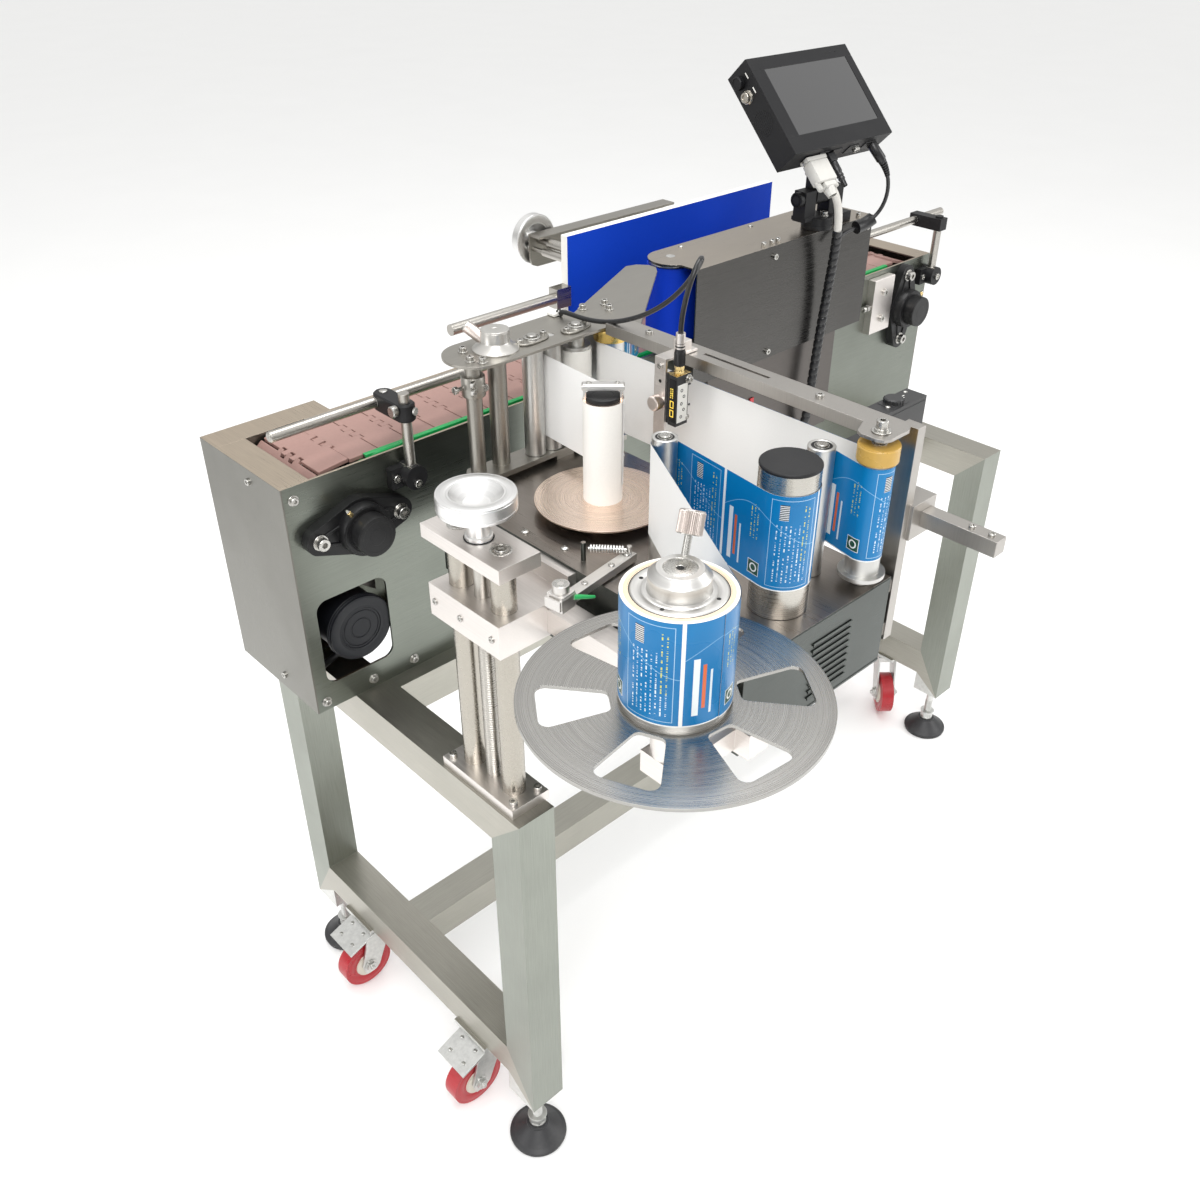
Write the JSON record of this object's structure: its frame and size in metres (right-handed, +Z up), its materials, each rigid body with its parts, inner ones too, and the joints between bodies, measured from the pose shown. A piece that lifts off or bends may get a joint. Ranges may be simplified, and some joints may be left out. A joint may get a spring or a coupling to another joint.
{
  "type": "labeling machine",
  "caption": "Wrap-around bottle labelling machine: flat-top chain conveyor on a tube frame, labelling head on a screw lift, belt wrap station, tilting touch screen.",
  "frame": {"origin": "centre of the front left levelling foot's pad, on the floor", "axes": "+X along the conveyor towards the end past the wrap station, +Y from the operator side to the transmission cover, +Z up"},
  "size_m": [1.2815, 0.8515, 1.2072],
  "materials": {
    "frame_steel": "brushed stainless tube",
    "foot_rubber": "black moulded pad, steel spindle",
    "caster_steel": "zinc-plated sheet",
    "caster_wheel": "red polyurethane tread, cream hub",
    "sheet_steel": "brushed stainless sheet",
    "chain_plastic": "pink-brown acetal",
    "guide_plastic": "green polyethylene",
    "shaft_steel": "ground steel",
    "motor_black": "black satin",
    "bearing_iron": "black satin",
    "bracket_plastic": "black nylon",
    "rail_steel": "polished stainless rod",
    "housing_steel": "brushed stainless sheet",
    "belt_rubber": "blue foam-faced belt",
    "roller_metal": "turned aluminium",
    "board_foam": "blue foam on a white board",
    "bracket_aluminium": "satin anodised",
    "wheel_metal": "turned aluminium",
    "plate_aluminium": "satin anodised",
    "column_chrome": "hard chrome",
    "case_steel": "brushed stainless sheet",
    "reel_steel": "turned and polished",
    "label_print": "printed film label stock",
    "spring_steel": "bright wire",
    "cylinder_metal": "polished",
    "plate_steel": "brushed",
    "nip_metal": "gold anodised",
    "roller_plastic": "white acetal",
    "web_paper": "glassine liner with printed labels",
    "sensor_plastic": "black",
    "printhead_metal": "black satin",
    "screen_case": "black moulded case",
    "button_chrome": "polished",
    "fastener_steel": "bright socket heads",
    "cable_rubber": "black sheath"
  },
  "bodies": {
    "base": {"frame": "frame_steel", "levelling_feet": "foot_rubber", "near_plate": "sheet_steel", "rear_housing": "sheet_steel", "end_covers": "sheet_steel", "chain": "chain_plastic", "chain_guides": "guide_plastic", "drive_motor": "motor_black", "flange_bearings": "bearing_iron", "rail_supports": "bracket_plastic", "wrap_housing": "housing_steel", "wrap_belt": "belt_rubber", "board_bracket": "bracket_aluminium", "column_plates": "plate_aluminium", "guide_columns": "column_chrome", "machine_screws": "fastener_steel", "machine_cables": "cable_rubber"},
    "head": {"carriage": "plate_aluminium", "labeler_case": "case_steel", "reel_arm": "plate_aluminium", "tension_spring": "spring_steel", "applicator_plates": "plate_steel", "peel_arm": "plate_steel", "label_web": "web_paper", "bridge_bar": "bracket_aluminium", "print_bracket": "bracket_aluminium", "sensor_cable": "cable_rubber"},
    "supply": {"supply_reel": "reel_steel", "label_roll": "label_print"},
    "fork_fl": {"fork_fl": "caster_steel"},
    "fork_bl": {"fork_bl": "caster_steel"},
    "fork_fr": {"fork_fr": "caster_steel"},
    "fork_br": {"fork_br": "caster_steel"},
    "wheel_fl": {"wheel_fl": "caster_wheel"},
    "wheel_bl": {"wheel_bl": "caster_wheel"},
    "wheel_fr": {"wheel_fr": "caster_wheel"},
    "wheel_br": {"wheel_br": "caster_wheel"},
    "drive_shaft": {"drive_shaft": "shaft_steel"},
    "idler_shaft": {"idler_shaft": "shaft_steel"},
    "near_rail": {"near_rail": "rail_steel"},
    "wrap_roller_l": {"wrap_roller_l": "roller_metal"},
    "wrap_roller_r": {"wrap_roller_r": "roller_metal"},
    "board": {"board": "board_foam"},
    "board_screw": {"board_screw": "wheel_metal"},
    "height_screw": {"height_screw": "wheel_metal"},
    "tension_arm": {"tension_arm": "plate_aluminium"},
    "tension_cylinder": {"tension_cylinder": "cylinder_metal"},
    "guide_roller_a": {"guide_roller_a": "roller_metal"},
    "guide_roller_b": {"guide_roller_b": "roller_metal"},
    "print_roller": {"print_roller": "roller_metal"},
    "drive_roller": {"drive_roller": "roller_metal"},
    "nip_roller": {"nip_roller": "nip_metal"},
    "liner_roller": {"liner_roller": "roller_plastic"},
    "pinch_roller": {"pinch_roller": "roller_metal"},
    "rewind_spool": {"rewind_spool": "reel_steel"},
    "label_sensor": {"label_sensor": "sensor_plastic"},
    "printhead": {"printhead": "printhead_metal"},
    "screen": {"screen": "screen_case"},
    "screen_mount": {"screen_mount": "bracket_plastic"},
    "power_button": {"power_button": "button_chrome"}
  },
  "joints": [
    {"name": "swivel_fl", "type": "hinge", "parent": "base", "child": "fork_fl", "pos_m": [0, 0.1, 0.115], "axis": [0, 0, 1], "continuous": true},
    {"name": "roll_fl", "type": "hinge", "parent": "fork_fl", "child": "wheel_fl", "pos_m": [-0.028, 0.1, 0.046], "axis": [0, 1, 0], "continuous": true},
    {"name": "swivel_bl", "type": "hinge", "parent": "base", "child": "fork_bl", "pos_m": [0, 0.362, 0.115], "axis": [0, 0, 1], "continuous": true},
    {"name": "roll_bl", "type": "hinge", "parent": "fork_bl", "child": "wheel_bl", "pos_m": [-0.028, 0.362, 0.046], "axis": [0, 1, 0], "continuous": true},
    {"name": "swivel_fr", "type": "hinge", "parent": "base", "child": "fork_fr", "pos_m": [1.084, 0.232, 0.115], "axis": [0, 0, 1], "continuous": true},
    {"name": "roll_fr", "type": "hinge", "parent": "fork_fr", "child": "wheel_fr", "pos_m": [1.0649, 0.21152, 0.046], "axis": [-0.7314, 0.682, 0], "continuous": true},
    {"name": "swivel_br", "type": "hinge", "parent": "base", "child": "fork_br", "pos_m": [1.084, 0.396, 0.115], "axis": [0, 0, 1], "range_deg": [-80, 165]},
    {"name": "roll_br", "type": "hinge", "parent": "fork_br", "child": "wheel_br", "pos_m": [1.0649, 0.37552, 0.046], "axis": [-0.7314, 0.682, 0], "continuous": true},
    {"name": "drive_turn", "type": "hinge", "parent": "base", "child": "drive_shaft", "pos_m": [0.005, 0.343, 0.815], "axis": [0, 1, 0], "continuous": true},
    {"name": "idler_turn", "type": "hinge", "parent": "base", "child": "idler_shaft", "pos_m": [1.01, 0.343, 0.815], "axis": [0, 1, 0], "continuous": true},
    {"name": "rail_height", "type": "slide", "parent": "base", "child": "near_rail", "axis": [0, 0, 1], "range_m": [-0.02, 0.012]},
    {"name": "belt_roller_left", "type": "hinge", "parent": "base", "child": "wrap_roller_l", "pos_m": [0.503, 0.289, 0.94], "axis": [0, 0, 1], "continuous": true},
    {"name": "belt_roller_right", "type": "hinge", "parent": "base", "child": "wrap_roller_r", "pos_m": [0.806, 0.289, 0.94], "axis": [0, 0, 1], "continuous": true},
    {"name": "board_travel", "type": "slide", "parent": "base", "child": "board", "axis": [0, 1, 0], "range_m": [-0.025, 0.015]},
    {"name": "board_wheel", "type": "hinge", "parent": "base", "child": "board_screw", "pos_m": [0.453, 0.49, 0.984], "axis": [0, 1, 0], "range_deg": [-1800, 1080]},
    {"name": "head_lift", "type": "slide", "parent": "base", "child": "head", "axis": [0, 0, 1], "range_m": [0, 0.045]},
    {"name": "height_wheel", "type": "hinge", "parent": "base", "child": "height_screw", "pos_m": [0.004, 0.0485, 0.9], "axis": [0, 0, 1], "range_deg": [-4052, 0]},
    {"name": "supply_turn", "type": "hinge", "parent": "head", "child": "supply", "pos_m": [-0.0185, -0.2245, 0.9], "axis": [0, 0, 1], "continuous": true},
    {"name": "brake_arm", "type": "hinge", "parent": "head", "child": "tension_arm", "pos_m": [0.095, -0.034, 0.855], "axis": [0, 0, 1], "range_deg": [-8, 0], "stiffness_Nm_per_rad": 1},
    {"name": "tension_cylinder_turn", "type": "hinge", "parent": "head", "child": "tension_cylinder", "pos_m": [0.1704, -0.1731, 0.9], "axis": [0, 0, 1], "continuous": true},
    {"name": "guide_roller_a_turn", "type": "hinge", "parent": "head", "child": "guide_roller_a", "pos_m": [0.1466, -0.0487, 0.9], "axis": [0, 0, 1], "continuous": true},
    {"name": "guide_roller_b_turn", "type": "hinge", "parent": "head", "child": "guide_roller_b", "pos_m": [0.2358, -0.1564, 0.9], "axis": [0, 0, 1], "continuous": true},
    {"name": "print_roller_turn", "type": "hinge", "parent": "head", "child": "print_roller", "pos_m": [0.2565, -0.2015, 0.9], "axis": [0, 0, 1], "continuous": true},
    {"name": "nip_roller_turn", "type": "hinge", "parent": "head", "child": "nip_roller", "pos_m": [0.2881, 0.171, 0.9], "axis": [0, 0, 1], "continuous": true},
    {"name": "pinch_roller_turn", "type": "hinge", "parent": "head", "child": "pinch_roller", "pos_m": [0.2185, 0.192, 0.9], "axis": [0, 0, 1], "continuous": true},
    {"name": "rewind_spool_turn", "type": "hinge", "parent": "head", "child": "rewind_spool", "pos_m": [0.176, 0.064, 0.9], "axis": [0, 0, 1], "continuous": true},
    {"name": "drive_roller_turn", "type": "hinge", "parent": "head", "child": "drive_roller", "pos_m": [0.194, 0.192, 0.9], "axis": [0, 0, 1], "continuous": true},
    {"name": "liner_roller_turn", "type": "hinge", "parent": "head", "child": "liner_roller", "pos_m": [0.251, 0.1865, 0.9], "axis": [0, 0, 1], "continuous": true},
    {"name": "sensor_travel", "type": "slide", "parent": "head", "child": "label_sensor", "axis": [0, 1, 0], "range_m": [-0.02, 0.02]},
    {"name": "printhead_travel", "type": "slide", "parent": "head", "child": "printhead", "axis": [0, 1, 0], "range_m": [-0.015, 0.02]},
    {"name": "screen_swivel", "type": "hinge", "parent": "base", "child": "screen_mount", "pos_m": [0.736, 0.2426, 1], "axis": [0, 0, 1], "range_deg": [-60, 60], "deforming": ["machine_cables"]},
    {"name": "screen_tilt", "type": "hinge", "parent": "screen_mount", "child": "screen", "pos_m": [0.73618, 0.247, 1.037], "axis": [0.9992, -0.0401, 0], "range_deg": [-15, 15], "deforming": ["machine_cables"]},
    {"name": "power_push", "type": "slide", "parent": "screen", "child": "power_button", "axis": [0.9992, -0.0401, 0], "range_m": [0, 0.0025], "stiffness_N_per_m": 400}
  ],
  "couplings": [
    {"joint": "tension_cylinder_turn", "follows": "supply_turn", "ratio": 1.6481},
    {"joint": "guide_roller_a_turn", "follows": "supply_turn", "ratio": -3.7083},
    {"joint": "guide_roller_b_turn", "follows": "supply_turn", "ratio": -3.4766},
    {"joint": "print_roller_turn", "follows": "supply_turn", "ratio": 2.7812},
    {"joint": "nip_roller_turn", "follows": "supply_turn", "ratio": -2.9667},
    {"joint": "pinch_roller_turn", "follows": "supply_turn", "ratio": 3.7083},
    {"joint": "rewind_spool_turn", "follows": "supply_turn", "ratio": -2.203},
    {"joint": "idler_turn", "follows": "drive_turn", "ratio": 1},
    {"joint": "belt_roller_right", "follows": "belt_roller_left", "ratio": 1},
    {"joint": "board_wheel", "follows": "board_travel", "rad_per_m": 1256.6},
    {"joint": "height_wheel", "follows": "head_lift", "rad_per_m": -1570.8}
  ]
}
